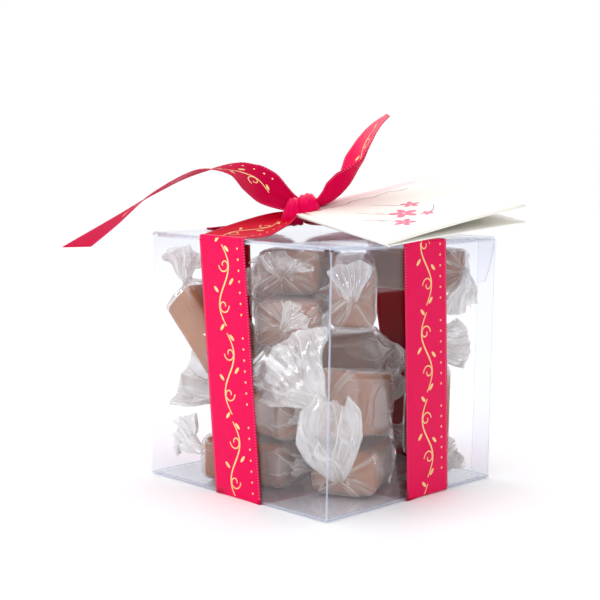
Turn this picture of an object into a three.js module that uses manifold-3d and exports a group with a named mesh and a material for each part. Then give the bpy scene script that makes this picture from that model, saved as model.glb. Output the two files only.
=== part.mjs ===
// A clear folding box of wrapped butter caramels, tied crosswise with satin ribbon, with a folded card.
// Millimetres, +Z up. X runs along the front wall, Y towards the back wall. The origin is the middle of
// the underside, where the two crossing ribbon bands rest on the table.

import * as THREE from 'three';
import { mergeVertices } from 'three/addons/utils/BufferGeometryUtils.js';
import Module from 'manifold-3d';

const wasm = await Module();
wasm.setup();

// ---- Driving dimensions ------------------------------------------------------------------------------

const BOX_SIDE = 76;          // outer side of the box, a 3 inch cube
const BOX_WALL = 0.4;         // clear plastic sheet, with its coating
const BOX_CORNER = 1.2;       // outer radius of the upright folds
const SLIT = 0.35;            // play between the lid and the walls that it isn't folded from
const TUCK_DEPTH = 14;        // flap of the lid that slides in behind the right wall
const TUCK_TAPER = 4;         // how much narrower that flap is at each side
const TUCK_CUT = 3;           // cut corners of that flap
const LID_SIDE_GAP = 0.5;     // how far the lid stays inside the box at its two sides
const LID_END_GAP = 0.9;      // and at its two folds
const DUST_DEPTH = 30;        // side flaps under the lid
const DUST_GAP = 0.4;         // from the head of the walls down to those flaps
const DUST_INSET = 3.5;       // how much narrower they are at each side
const DUST_DROOP = 1.6;       // how far their free edges hang below the lid

const RIBBON_WIDTH = 19;      // a 3/4 inch satin ribbon
const RIBBON_THICK = 0.35;
const RIBBON_PLAY = 0.1;      // air between ribbon and box

const CARD_SIDE = 51;         // a 2 inch square card, folded once
const CARD_THICK = 0.45;
const CARD_OPENING = 5;       // degrees between its two leaves

const CANDY_LENGTH = 27;      // one caramel with its wrapping pulled tight
const CANDY_WIDTH = 20;
const CANDY_HEIGHT = 14;
const NECK_REACH = 5.5;       // from the end of the caramel to the twist
const NECK_RADIUS = 1.7;
const FAN_THICK = 1.1;        // the ruffled end of the wrapper, as one leaf
const FAN_SPREAD = 8;         // a fan's edges fall back by its width squared over this many lengths
const NECK_CORE = 3;          // how far back inside the neck the loose end starts
const FINEST = 0.02;          // detail smaller than this is drawn together after a join

const BOX_BOTTOM = RIBBON_THICK + RIBBON_PLAY;
const BOX_TOP = BOX_BOTTOM + BOX_SIDE;
const HALF = BOX_SIDE / 2;

// ---- Materials ---------------------------------------------------------------------------------------

const material = (color, roughness, opacity = 1) =>
  new THREE.MeshStandardMaterial({ color, roughness, metalness: 0, opacity, transparent: opacity < 1 });

const CLEAR_PLASTIC = material(0xe9edf5, 0.06, 0.25);
const SATIN = material(0xe8215f, 0.38);
const CARD_STOCK = material(0xfbf8ee, 0.85);
const WRAPPED_CARAMEL = material(0xb08a6a, 0.35);

// ---- Shared helpers ----------------------------------------------------------------------------------

const vector = (list) => new THREE.Vector3(...list);
const radians = THREE.MathUtils.degToRad;

function solidOf(geometry) {
  const bare = geometry.clone();
  for (const name of ['normal', 'uv']) {
    bare.deleteAttribute(name);
  }
  const merged = mergeVertices(bare, 1e-4);
  return new wasm.Manifold(new wasm.Mesh({
    numProp: 3,
    vertProperties: new Float32Array(merged.attributes.position.array),
    triVerts: new Uint32Array(merged.index.array),
  }));
}

function geometryOf(solid) {
  const mesh = solid.simplify(FINEST).getMesh();
  const geometry = new THREE.BufferGeometry();
  geometry.setAttribute('position', new THREE.BufferAttribute(Float32Array.from(mesh.vertProperties), 3));
  geometry.setIndex(new THREE.BufferAttribute(Uint32Array.from(mesh.triVerts), 1));
  geometry.computeVertexNormals();
  return geometry;
}

// Rings of points, all of one length, joined into a closed skin with a flat fan at each end.
function loft(rings) {
  const count = rings[0].length;
  const points = rings.flat();
  const triangles = [];
  for (let r = 0; r + 1 < rings.length; r += 1) {
    for (let i = 0; i < count; i += 1) {
      const j = (i + 1) % count;
      const a = r * count + i;
      const b = r * count + j;
      triangles.push(a, b, b + count, a, b + count, a + count);
    }
  }
  for (const [ring, first, flip] of [[rings[0], 0, true], [rings.at(-1), points.length - count, false]]) {
    const middle = points.length;
    points.push(ring.reduce((sum, p) => sum.add(p), new THREE.Vector3()).divideScalar(count));
    for (let i = 0; i < count; i += 1) {
      const a = first + i;
      const b = first + ((i + 1) % count);
      triangles.push(...(flip ? [middle, b, a] : [middle, a, b]));
    }
  }
  const geometry = new THREE.BufferGeometry();
  const flat = points.flatMap((p) => p.toArray());
  geometry.setAttribute('position', new THREE.Float32BufferAttribute(flat, 3));
  geometry.setIndex(triangles);
  return geometry;
}

// A band along a path of stops, smooth or creased over straight edges. Each stop gives its middle, the
// direction across the band, its width, its thickness, how far it is curled across itself in degrees,
// how far its end is cut on the skew, and how far its two edges are swept back from its middle.
function band(stops, { steps, across = 4, ruffle = 0, ruffles = 1.5, creased = false }) {
  const places = stops.map((stop) => vector(stop.at));
  const path = new THREE.CatmullRomCurve3(places, false, 'centripetal');
  const rings = [];
  const last = creased ? stops.length - 1 : steps;
  for (let k = 0; k <= last; k += 1) {
    const t = k / last;
    const spot = t * (stops.length - 1);
    const before = Math.min(Math.floor(spot), stops.length - 2);
    const [from, to] = [stops[before], stops[before + 1]];
    const ease = (name, fallback) => THREE.MathUtils.lerp(
      from[name] ?? fallback, to[name] ?? fallback, spot - before);
    const middle = creased ? places[k] : path.getPoint(t);
    const along = creased
      ? bisector(places[k - 1], places[k], places[k + 1])
      : path.getTangent(t);
    const side = vector(from.across).normalize().lerp(vector(to.across).normalize(), spot - before);
    if (!creased) {
      side.addScaledVector(along, -side.dot(along));
    }
    side.normalize();
    const up = along.clone().cross(side).normalize();
    const width = ease('width', RIBBON_WIDTH);
    const depth = ease('thick', RIBBON_THICK);
    const curl = radians(ease('curl', 0));
    const top = [];
    const bottom = [];
    for (let i = 0; i <= across; i += 1) {
      const s = (2 * i) / across - 1;
      const turn = (s * curl) / 2;
      const reach = curl ? (width / curl) * Math.sin(turn) : (s * width) / 2;
      const sink = curl ? (width / curl) * (Math.cos(turn) - 1) : 0;
      const wave = ruffle * t * Math.sin(Math.PI * ruffles * s + 2 * t);
      const point = middle.clone()
        .addScaledVector(side, reach)
        .addScaledVector(up, sink + wave)
        .addScaledVector(along, ease('skew', 0) * s - ease('sweep', 0) * s * s);
      const out = up.clone().multiplyScalar(Math.cos(turn)).addScaledVector(side, Math.sin(turn));
      top.push(point.clone().addScaledVector(out, depth / 2));
      bottom.push(point.clone().addScaledVector(out, -depth / 2));
    }
    rings.push([...bottom, ...top.reverse()]);
  }
  return loft(rings);
}

function bisector(before, at, after) {
  const into = before ? at.clone().sub(before).normalize() : new THREE.Vector3();
  const onward = after ? after.clone().sub(at).normalize() : new THREE.Vector3();
  return into.add(onward).normalize();
}

const joined = (solids) => solids.reduce((all, one) => all.add(one));

function plate(shape, thickness) {
  return new THREE.ExtrudeGeometry(shape, { depth: thickness, bevelEnabled: false, curveSegments: 4 });
}

function polygon(points) {
  return new THREE.Shape(points.map(([x, y]) => new THREE.Vector2(x, y)));
}

const group = new THREE.Group();

function addMesh(name, geometry, look) {
  const mesh = new THREE.Mesh(geometry, look);
  mesh.name = name;
  group.add(mesh);
  return mesh;
}

// ---- Clear box: one creased sheet --------------------------------------------------------------------

function roundedSquare(half, radius) {
  const shape = new THREE.Shape();
  shape.moveTo(half - radius, -half);
  for (const [x, y, start] of [[1, -1, -90], [1, 1, 0], [-1, 1, 90], [-1, -1, 180]]) {
    shape.absarc(x * (half - radius), y * (half - radius), radius, radians(start), radians(start + 90));
  }
  shape.closePath();
  return shape;
}

// A flat piece drawn in X and Z and run along Y.
const runAlongY = (points, from, to) =>
  plate(polygon(points), to - from).rotateX(Math.PI / 2).translate(0, to, 0);

function boxSolid() {
  const inner = HALF - BOX_WALL;
  const wallTop = BOX_TOP - BOX_WALL - SLIT;
  const outside = plate(roundedSquare(HALF, BOX_CORNER), wallTop - BOX_BOTTOM).translate(0, 0, BOX_BOTTOM);
  const inside = plate(roundedSquare(inner, BOX_CORNER - BOX_WALL), BOX_SIDE)
    .translate(0, 0, BOX_BOTTOM + BOX_WALL);
  const walls = solidOf(outside).subtract(solidOf(inside));

  // The lid is folded from the left wall, lies over the two dust flaps and tucks in at the right wall.
  const lidSide = HALF - LID_SIDE_GAP;
  const lidEnd = HALF - LID_END_GAP;
  const lid = runAlongY([
    [-lidEnd, BOX_TOP - BOX_WALL], [lidEnd, BOX_TOP - BOX_WALL], [lidEnd, BOX_TOP], [-lidEnd, BOX_TOP],
  ], -lidSide, lidSide);
  const hinge = runAlongY([
    [-HALF + 0.05, wallTop - 0.4], [-inner + 0.2, wallTop - 0.4], [-lidEnd + 0.7, BOX_TOP - 0.25],
    [-lidEnd + 0.7, BOX_TOP - 0.06], [-lidEnd - 0.3, BOX_TOP - 0.06], [-HALF + 0.05, wallTop + 0.2],
  ], -HALF + 1.5, HALF - 1.5);
  const tuckEnd = lidSide - TUCK_TAPER;
  const tuck = plate(polygon([
    [-tuckEnd + TUCK_CUT, -TUCK_DEPTH], [tuckEnd - TUCK_CUT, -TUCK_DEPTH], [tuckEnd, -TUCK_DEPTH + 2],
    [lidSide - 1.4, -4], [lidSide - 0.4, 0], [-lidSide + 0.4, 0], [-lidSide + 1.4, -4],
    [-tuckEnd, -TUCK_DEPTH + 2],
  ]), BOX_WALL).rotateX(Math.PI / 2).rotateZ(Math.PI / 2);
  tuck.translate(lidEnd - BOX_WALL - 0.1, 0, BOX_TOP - 0.15);

  // Dust flaps are folded from the front and back walls.
  const high = wallTop - DUST_GAP;
  const dust = [-1, 1].map((side) => {
    const flap = plate(polygon([
      [0, high - BOX_WALL], [DUST_DEPTH, high - DUST_DROOP - BOX_WALL], [DUST_DEPTH, high - DUST_DROOP],
      [0, high],
    ]), 2 * (inner - DUST_INSET)).translate(0, 0, -inner + DUST_INSET);
    flap.rotateX(Math.PI / 2).rotateZ(side * -Math.PI / 2);
    return solidOf(flap.translate(-1.5, side * (HALF - BOX_WALL / 2), 0));
  });
  return joined([walls, solidOf(lid), solidOf(hinge), solidOf(tuck), ...dust]);
}

// ---- Ribbon: two bands round the box, four strands up to the knot, two free tails --------------------

const KNOT = [-5.8, -5.8, 84]; // middle of the knot
const BAND_REACH = HALF + RIBBON_PLAY + RIBBON_THICK / 2;
const BAND_TOP = BOX_TOP + RIBBON_PLAY + RIBBON_THICK / 2;
const BAND_BOTTOM = RIBBON_THICK / 2;
const BEND = 0.35;            // radius of the ribbon's middle as it turns under the box

// Where the middle of each band crosses an edge of the box: along X for the front and back walls,
// along Y for the right and left walls.
const DRIFT = {
  frontTop: -5.6, frontFoot: 2.6, backFoot: 8.5, backTop: -7.2, rightTop: 1.8, rightFoot: 6, leftFoot: -1.5,
  leftTop: -5.4,
};

// The cross of two flat bands under the box and up its four walls.
function wallBand(normal, side, foot, top) {
  const low = normal.clone().multiplyScalar(BAND_REACH).addScaledVector(side, foot);
  const high = normal.clone().multiplyScalar(BAND_REACH).addScaledVector(side, top);
  const inward = (point, distance) => point.clone().addScaledVector(normal, -distance);
  const stops = [
    [inward(low, 4), BAND_BOTTOM],
    [inward(low, BEND), BAND_BOTTOM],
    [inward(low, 0.3 * BEND), BAND_BOTTOM + 0.3 * BEND],
    [low, BAND_BOTTOM + BEND],
    [high, BAND_TOP - 2 * BEND],
    [inward(high, 0.6 * BEND), BAND_TOP - 0.6 * BEND],
    [inward(high, 2 * BEND), BAND_TOP],
    [inward(high, 3), BAND_TOP + 0.05],
  ];
  return stops.map(([p, z]) => ({ at: [p.x, p.y, z], across: side.toArray(), width: RIBBON_WIDTH }));
}

const X_WAY = new THREE.Vector3(1, 0, 0);
const Y_WAY = new THREE.Vector3(0, 1, 0);
const WALLS = [
  { normal: Y_WAY.clone().negate(), side: X_WAY, foot: DRIFT.frontFoot, top: DRIFT.frontTop },
  { normal: Y_WAY, side: X_WAY, foot: DRIFT.backFoot, top: DRIFT.backTop },
  { normal: X_WAY, side: Y_WAY, foot: DRIFT.rightFoot, top: DRIFT.rightTop },
  { normal: X_WAY.clone().negate(), side: Y_WAY, foot: DRIFT.leftFoot, top: DRIFT.leftTop },
];

function underBand(from, to) {
  const corners = [from, to].flatMap(({ normal, side, foot }, end) => {
    const edge = normal.clone().multiplyScalar(HALF - 0.5).addScaledVector(side, foot);
    const half = side.clone().multiplyScalar((end ? -1 : 1) * (RIBBON_WIDTH / 2 - 0.01));
    return [edge.clone().add(half), edge.clone().sub(half)];
  });
  const turn = THREE.ShapeUtils.area(corners) < 0;
  return plate(new THREE.Shape(turn ? corners.reverse() : corners), RIBBON_THICK);
}

// A strand leaves the top edge of a wall, lifts off the lid and gathers into the knot.
function strand({ normal, side, top }, lift) {
  const edge = normal.clone().multiplyScalar(HALF - 1.5).addScaledVector(side, top);
  const knot = new THREE.Vector3(KNOT[0], KNOT[1], 0);
  const place = (t, z) => {
    const p = edge.clone().lerp(knot, t);
    return [p.x, p.y, z];
  };
  const lean = side.clone().addScaledVector(new THREE.Vector3(0, 0, 1), lift);
  return [
    { at: place(0, BAND_TOP + 0.05), across: side.toArray(), width: RIBBON_WIDTH },
    { at: place(0.3, BAND_TOP + 1.3), across: lean.toArray(), width: 18 },
    { at: place(0.65, BAND_TOP + 3.1), across: lean.toArray(), width: 14, curl: 40 },
    { at: place(0.86, BAND_TOP + 4.6), across: lean.toArray(), width: 8, curl: 90, thick: 0.8 },
    { at: place(1, BAND_TOP + 5.2), across: side.toArray(), width: 6, curl: 120, thick: 1.4 },
  ];
}

// The tails spread along the diagonal of the box. "out" runs along it to the right, "near" to the front
// corner, "up" is the height above the table.
const diagonal = (out, near, up) => [
  (out + near) * Math.SQRT1_2,
  (out - near) * Math.SQRT1_2,
  up,
];

const LEFT_TAIL = [
  { at: diagonal(-8.6, 0, 84.4), across: diagonal(0.5, -0.6, 0.6), width: 5, curl: 60, thick: 1.2 },
  { at: diagonal(-12.9, 0, 86.1), across: diagonal(0.5, -0.7, 0.55), width: 9.5, curl: 60, thick: 0.7 },
  { at: diagonal(-18.3, 0, 89.2), across: diagonal(0.4, -0.72, 0.47), width: 16, curl: 45 },
  { at: diagonal(-23.3, 0, 92.7), across: diagonal(0.15, -0.85, 0.42), width: RIBBON_WIDTH, curl: 25 },
  { at: diagonal(-28.3, 0, 95.4), across: diagonal(0.1, -0.95, 0.17), width: RIBBON_WIDTH, curl: 12 },
  { at: diagonal(-38.5, 0, 95.2), across: diagonal(0, -1, -0.08), width: RIBBON_WIDTH },
  { at: diagonal(-52.9, 0.5, 88.1), across: diagonal(0, -1, -0.02), width: RIBBON_WIDTH },
  { at: diagonal(-64, 1, 79.9), across: diagonal(-0.13, -0.97, 0.08), width: RIBBON_WIDTH },
  { at: diagonal(-76.5, 2, 71.4), across: diagonal(-0.21, -0.92, 0.16), width: RIBBON_WIDTH, skew: 4.6 },
];

const RIGHT_TAIL = [
  { at: diagonal(-5, 0, 84.6), across: diagonal(-0.3, 1, 0.2), width: 5, curl: 60, thick: 1.2 },
  { at: diagonal(-1, 0, 85.4), across: diagonal(-0.3, 1, 0.2), width: 9, curl: 120, thick: 0.7 },
  { at: diagonal(3.1, 0, 87.7), across: diagonal(-0.33, 1, 0.22), width: 14, curl: 150 },
  { at: diagonal(7.6, 0, 92.4), across: diagonal(-0.1, 1, 0.07), width: 17, curl: 150 },
  { at: diagonal(10.6, 0, 98.8), across: diagonal(0.2, 1, -0.13), width: RIBBON_WIDTH, curl: 70 },
  { at: diagonal(12.7, 0, 104.8), across: diagonal(0.15, 1, -0.1), width: RIBBON_WIDTH, curl: 30 },
  { at: diagonal(15.2, 0, 109.6), across: diagonal(0.07, 1, -0.05), width: RIBBON_WIDTH, curl: 10 },
  { at: diagonal(18.7, 0, 113.2), across: diagonal(0.02, 1, 0), width: RIBBON_WIDTH, skew: -0.6 },
];

function knotSolid() {
  const lump = (at, radii) => solidOf(
    new THREE.SphereGeometry(1, 12, 8).scale(...radii).rotateZ(Math.PI / 4).translate(...at));
  return joined([
    lump(diagonal(-10.3, 0.5, 83), [2.9, 5, 3.5]),
    lump(diagonal(-5.6, 0, 85.2), [3.3, 4.6, 3.6]),
    lump(diagonal(-8, 0, 82), [4.4, 4.6, 2.2]),
  ]);
}

function ribbonSolid() {
  const [front, back, right, left] = WALLS;
  const bands = WALLS.map(({ normal, side, foot, top }) =>
    solidOf(band(wallBand(normal, side, foot, top), { across: 1, creased: true })));
  const under = [[front, back], [right, left]].map(([a, b]) => solidOf(underBand(a, b)));
  const strands = [[front, -0.12], [back, 0.05], [right, 0.05], [left, 0]].map(([wall, lift]) =>
    solidOf(band(strand(wall, lift), { steps: 7, across: 4 })));
  const tails = [
    solidOf(band(LEFT_TAIL, { steps: 22, across: 3 })),
    solidOf(band(RIGHT_TAIL, { steps: 17, across: 5 })),
  ];
  return joined([...bands, ...under, ...strands, knotSolid(), ...tails]);
}

// ---- Folded card -------------------------------------------------------------------------------------

// The fold runs from the knot to the right edge of the lid, and both leaves rise to the back.
const CARD_KNOT_CORNER = new THREE.Vector3(-7.4, -8.9, 82.9);
const CARD_FOLD = new THREE.Vector3(49.9, -10.7, -6.3).normalize();
const CARD_RISE = new THREE.Vector3(10.6, 49, 10.3);

function cardSolid(grow = 0) {
  const rise = CARD_RISE.clone().addScaledVector(CARD_FOLD, -CARD_RISE.dot(CARD_FOLD)).normalize();
  const up = CARD_FOLD.clone().cross(rise);
  const frame = new THREE.Matrix4().makeBasis(CARD_FOLD, rise, up).setPosition(CARD_KNOT_CORNER);
  const leaf = (turn, from) => {
    const sheet = plate(polygon([[0, 0], [CARD_SIDE, 0], [CARD_SIDE, CARD_SIDE], [0, CARD_SIDE]]),
      CARD_THICK + 2 * grow);
    return solidOf(sheet.translate(0, 0, from - grow).rotateX(radians(turn)).applyMatrix4(frame));
  };
  return leaf(0, -CARD_THICK / 2).add(leaf(-CARD_OPENING, -CARD_THICK / 2));
}

// ---- Wrapped caramels --------------------------------------------------------------------------------

// A rounded block whose wrapping is drawn in to a twist at each end.
function candyBody() {
  const around = 12;
  const profile = [
    [NECK_REACH, NECK_RADIUS, NECK_RADIUS],
    [NECK_REACH - 2, 3.2, 2.8],
    [NECK_REACH - 4.3, 7.2, 4.9],
    [0, 9.3, 6.3],
    [-2, CANDY_WIDTH / 2, CANDY_HEIGHT / 2],
  ];
  const half = CANDY_LENGTH / 2;
  const ends = [-1, 1].map((end) => profile.map(([beyond, a, b]) => [end * (half + beyond), a, b]));
  const rings = [...ends[0], ...ends[1].reverse()].map(([x, a, b], k) => {
    const pleat = Math.abs(x) > half ? 0.07 : 0;
    return Array.from({ length: around }, (_, i) => {
      const angle = (2 * Math.PI * (i + 0.5)) / around;
      const square = (v) => Math.sign(v) * Math.abs(v) ** 0.42;
      const swell = 1 + pleat * (i % 2 ? 1 : -1);
      return new THREE.Vector3(x, a * square(Math.cos(angle)) * swell, b * square(Math.sin(angle)) * swell);
    });
  });
  return loft(rings);
}

// A wrapper's loose end: a thin ruffled fan that opens from the twist and bends towards its own way, over
// the stops in via where it is led round something.
function candyFan(end, axis, { toward, across, length = 14, width = 20, via = [] }) {
  const start = end.clone().addScaledVector(axis, NECK_REACH - NECK_CORE);
  const neck = end.clone().addScaledVector(axis, NECK_REACH);
  const stop = (p, wide, thick, sweep = 0) => ({ at: p.toArray(), across, width: wide, thick, sweep });
  const gathered = [stop(start, 2.4, 2.2), stop(neck, 2.6, 2.2)];
  if (via.length) {
    const led = via.map((place) => ({ across, thick: FAN_THICK, ...place }));
    return band([...gathered, ...led], { steps: 6, across: 5, ruffle: 0.4 });
  }
  const away = vector(toward).normalize();
  const sweep = width ** 2 / (FAN_SPREAD * length);
  const opening = neck.clone().addScaledVector(axis, 0.12 * length).addScaledVector(away, 0.3 * length);
  return band([
    ...gathered,
    stop(opening, 0.5 * width, 1.5),
    stop(neck.clone().addScaledVector(away, 0.7 * length), 0.85 * width, FAN_THICK, 0.5 * sweep),
    stop(neck.clone().addScaledVector(away, length), width, FAN_THICK, sweep),
  ], { steps: 5, across: 5, ruffle: 0.7 });
}

// Each caramel: the middle of its block, how it is turned about Z (yaw), about its own width (pitch) and
// about its own length (roll), in degrees, and where the wrapper's two ends point.
const CARAMELS = [
  { // on the floor behind the front wall
    at: [-6.6, -22.6, 8.4], yaw: 17, pitch: 0, roll: 0,
    tails: [
      { toward: [-0.66, -0.3, 0.55], across: [0.15, -0.45, 1], length: 12, width: 23 },
      { toward: [0.05, -0.95, 0.25], across: [0.3, 0.1, 1], length: 8, width: 9 },
    ],
  },
  { // on the floor, pointing at the near corner
    at: [18.7, -5.3, 8.2], yaw: 118, pitch: 0, roll: 0,
    tails: [
      {
        across: [0.62, 0.78, 0],
        via: [
          { at: [31.8, -29, 13.5], width: 14, curl: -60, thick: 1.3 },
          { at: [33.4, -31.6, 20], width: 22, curl: -95 },
          { at: [33.6, -31.8, 28], width: 20, curl: -100 },
          { at: [33.8, -31.8, 33.2], width: 11, curl: -60, skew: -2 },
        ],
      },
      { toward: [0.4, 0.85, 0.35], across: [1, -0.4, 0], length: 8, width: 8 },
    ],
  },
  { // second layer, above the first
    at: [-3.1, -16.3, 22.9], yaw: -10, pitch: 0, roll: 0,
    tails: [
      { toward: [-0.58, -0.68, 0.4], across: [0.25, 0.3, 0.9], length: 22, width: 22 },
      { toward: [-0.15, -0.9, 0.3], across: [0.9, 0, 0.4], length: 8, width: 8 },
    ],
  },
  { // second layer, on edge beside the right wall
    at: [24.5, -12.6, 28.7], yaw: 104, pitch: 8, roll: 90,
    tails: [
      { toward: [-0.73, -0.1, 0.68], across: [0.64, 0.1, 0.76], length: 22, width: 34 },
      { toward: [0.5, 0.35, 0.8], across: [0.6, 0.5, -0.6], length: 11, width: 11 },
    ],
  },
  { // leaning by the left corner
    at: [-21, -25.7, 47.2], yaw: 5, pitch: 47, roll: 0,
    tails: [
      { toward: [0.3, -0.3, 0.9], across: [0.7, 0.7, 0], length: 11, width: 15 },
      { toward: [0.7, 0.7, 0.2], across: [0.3, -0.3, 1], length: 6, width: 8 },
    ],
  },
  { // third layer, pointing at the front wall
    at: [2.6, -15.8, 51.3], yaw: -54, pitch: 0, roll: 0,
    tails: [
      { toward: [-0.5, 0.5, 0.4], across: [0.7, 0.7, 0], length: 6, width: 10 },
      { toward: [0.7, 0.1, 0.7], across: [0.7, 0.1, -0.7], length: 8, width: 9 },
    ],
  },
  { // top layer, on edge, pointing at the right wall
    at: [18.5, -7.1, 61], yaw: 132, pitch: -2, roll: 90,
    tails: [
      { toward: [-0.05, -0.2, 0.97], across: [0.7, 0.7, 0.1], length: 11, width: 13 },
      { toward: [0.3, 0.5, -0.6], across: [0.8, 0.3, 0.4], length: 7, width: 9 },
    ],
  },
  { // top layer, pointing at the front wall
    at: [-5.3, -5.5, 65.6], yaw: 118, pitch: 0, roll: 0,
    tails: [
      { toward: [0.36, -0.52, 0.7], across: [0.95, 0.3, 0.05], length: 9, width: 20 },
      { toward: [-0.4, 0.5, 0.45], across: [0.7, 0.6, 0.1], length: 6, width: 10 },
    ],
  },
  { // back half, floor
    at: [-14.8, 12, 8.4], yaw: 4, pitch: 0, roll: 0,
    tails: [
      { toward: [-0.2, -0.8, 0.5], across: [0.1, 0.5, 1], length: 9, width: 12 },
      { toward: [-0.3, 0.5, 0.8], across: [0.5, 1, 0], length: 6, width: 8 },
    ],
  },
  { // back half, floor, on edge against the back wall
    at: [-16.3, 29.9, 11.2], yaw: 0, pitch: 0, roll: 90,
    tails: [
      { toward: [0.25, -0.3, 0.9], across: [0.3, 1, 0], length: 8, width: 10 },
      { toward: [0.8, -0.1, -0.1], across: [0, 0.2, 1], length: 8, width: 11 },
    ],
  },
  { // back half, second layer
    at: [-14.8, 8.5, 22.7], yaw: 8, pitch: 0, roll: 0,
    tails: [
      { toward: [0.1, 0.7, 0.6], across: [0.1, -0.6, 1], length: 9, width: 12 },
      { toward: [-0.6, 0, 0.9], across: [0, 1, 0], length: 5, width: 8 },
    ],
  },
  { // standing on end in the right back corner
    at: [23.4, 22.8, 22.2], yaw: 44, pitch: 90, roll: 0,
    tails: [
      { toward: [0.8, 0.3, 0.25], across: [-0.2, 0.4, 1], length: 14, width: 17 },
      { toward: [0.72, 0.3, 0.6], across: [-0.5, 0.3, 0.8], length: 13, width: 14 },
    ],
  },
  { // back half, on edge against the back wall, above the other
    at: [-16.6, 29.9, 31.5], yaw: 0, pitch: 0, roll: 90,
    tails: [
      { toward: [0.35, -0.3, 0.9], across: [0.3, 1, 0], length: 7, width: 9 },
      { toward: [0.3, 0.15, 0.8], across: [0.3, 1, 0], length: 5, width: 8 },
    ],
  },
  { // top layer, along the back wall to the right
    at: [15.3, 26.2, 65.6], yaw: 0, pitch: 0, roll: 0,
    tails: [
      { toward: [0, -0.8, 0.2], across: [1, 0, 0.3], length: 6, width: 10 },
      { toward: [-0.18, 0.05, -0.95], across: [0.1, 1, 0], length: 13, width: 16 },
    ],
  },
  { // on edge against the left wall, above the back ones
    at: [-29.4, 16, 55.5], yaw: 90, pitch: 0, roll: 90,
    tails: [
      { toward: [0.2, -0.4, 0.8], across: [1, 0.2, 0], length: 8, width: 11 },
      { toward: [0.5, -0.2, 0.8], across: [1, 0, 0.2], length: 7, width: 10 },
    ],
  },
  { // in the middle, across the box
    at: [-2.9, 8.8, 38.1], yaw: 44, pitch: -6, roll: 0,
    tails: [
      { toward: [-0.3, -0.5, 0.7], across: [0.7, -0.7, 0], length: 7, width: 10 },
      { toward: [-0.2, 0.3, -0.9], across: [0.7, 0.7, 0], length: 10, width: 11 },
    ],
  },
];

function candySolid({ at, yaw, pitch, roll, tails }) {
  const turn = new THREE.Euler(radians(roll), radians(pitch), radians(yaw), 'ZYX');
  const pose = new THREE.Matrix4().makeRotationFromEuler(turn).setPosition(vector(at));
  const axis = new THREE.Vector3(1, 0, 0).applyEuler(turn);
  const body = solidOf(candyBody().applyMatrix4(pose));
  const fans = tails.map((tail, k) => {
    const way = axis.clone().multiplyScalar(k ? 1 : -1);
    const end = vector(at).addScaledVector(way, CANDY_LENGTH / 2);
    return solidOf(candyFan(end, way, tail));
  });
  return joined([body, ...fans]);
}

// ---- Assembly ----------------------------------------------------------------------------------------

addMesh('box', geometryOf(boxSolid()), CLEAR_PLASTIC);
addMesh('ribbon', geometryOf(ribbonSolid().subtract(cardSolid(0.3))), SATIN);
addMesh('card', geometryOf(cardSolid()), CARD_STOCK);
CARAMELS.forEach((caramel, i) => {
  const name = `caramel_${String(i + 1).padStart(2, '0')}`;
  addMesh(name, geometryOf(candySolid(caramel)), WRAPPED_CARAMEL);
});

export default group;
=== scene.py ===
"""A clear folding box of wrapped butter caramels, tied with satin ribbon and hung with a folded card.

Lengths are in millimetres until a mesh is made, in the frame of the CAD model: X along the front wall, Y to
the back wall, Z up from the table.
"""

import math

import bpy
import numpy as np
from mathutils import Matrix, Vector, noise


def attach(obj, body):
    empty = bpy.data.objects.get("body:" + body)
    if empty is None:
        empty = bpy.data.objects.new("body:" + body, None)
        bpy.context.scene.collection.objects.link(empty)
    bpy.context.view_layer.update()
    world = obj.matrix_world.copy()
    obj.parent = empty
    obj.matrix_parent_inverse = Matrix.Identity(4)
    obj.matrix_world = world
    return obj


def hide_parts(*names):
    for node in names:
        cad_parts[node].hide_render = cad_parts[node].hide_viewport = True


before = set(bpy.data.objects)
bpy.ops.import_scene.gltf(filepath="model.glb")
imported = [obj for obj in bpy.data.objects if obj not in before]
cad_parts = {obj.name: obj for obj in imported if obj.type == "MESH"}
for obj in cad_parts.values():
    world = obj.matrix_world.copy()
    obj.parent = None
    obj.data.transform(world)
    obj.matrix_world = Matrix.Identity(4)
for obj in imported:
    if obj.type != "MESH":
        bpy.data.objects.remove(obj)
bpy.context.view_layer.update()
scene = bpy.context.scene

MM = 0.001
X, Y, Z = np.eye(3)

# ---- Sizes shared with the CAD model ----

BOX_SIDE = 76.0
BOX_BOTTOM = 0.45
BOX_TOP = BOX_BOTTOM + BOX_SIDE
HALF = BOX_SIDE / 2
SHEET = 0.4
CORNER = 1.2
TUCK_DEPTH = 14.0
DUST_DEPTH = 30.0
DUST_DROOP = 1.6
WALL_HEAD = 75.0

RIBBON_WIDTH = 19.0
RIBBON_THICK = 0.28
BAND_REACH = HALF + 0.1 + RIBBON_THICK / 2
BAND_TOP = BOX_TOP + 0.1 + RIBBON_THICK / 2
KNOT = np.array([-5.8, -5.8, 84.0])

CARD_SIDE = 51.0
CARD_THICK = 0.4
CARD_OPENING = 5.0

CANDY_LENGTH = 27.0
CANDY_WIDTH = 20.0
CANDY_HEIGHT = 14.0
NECK_REACH = 5.5


# ---- Mesh helpers ----


def unit(v):
    """Vectors of length 1 along v."""
    v = np.asarray(v, float)
    return v / np.linalg.norm(v, axis=-1, keepdims=True)


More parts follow.
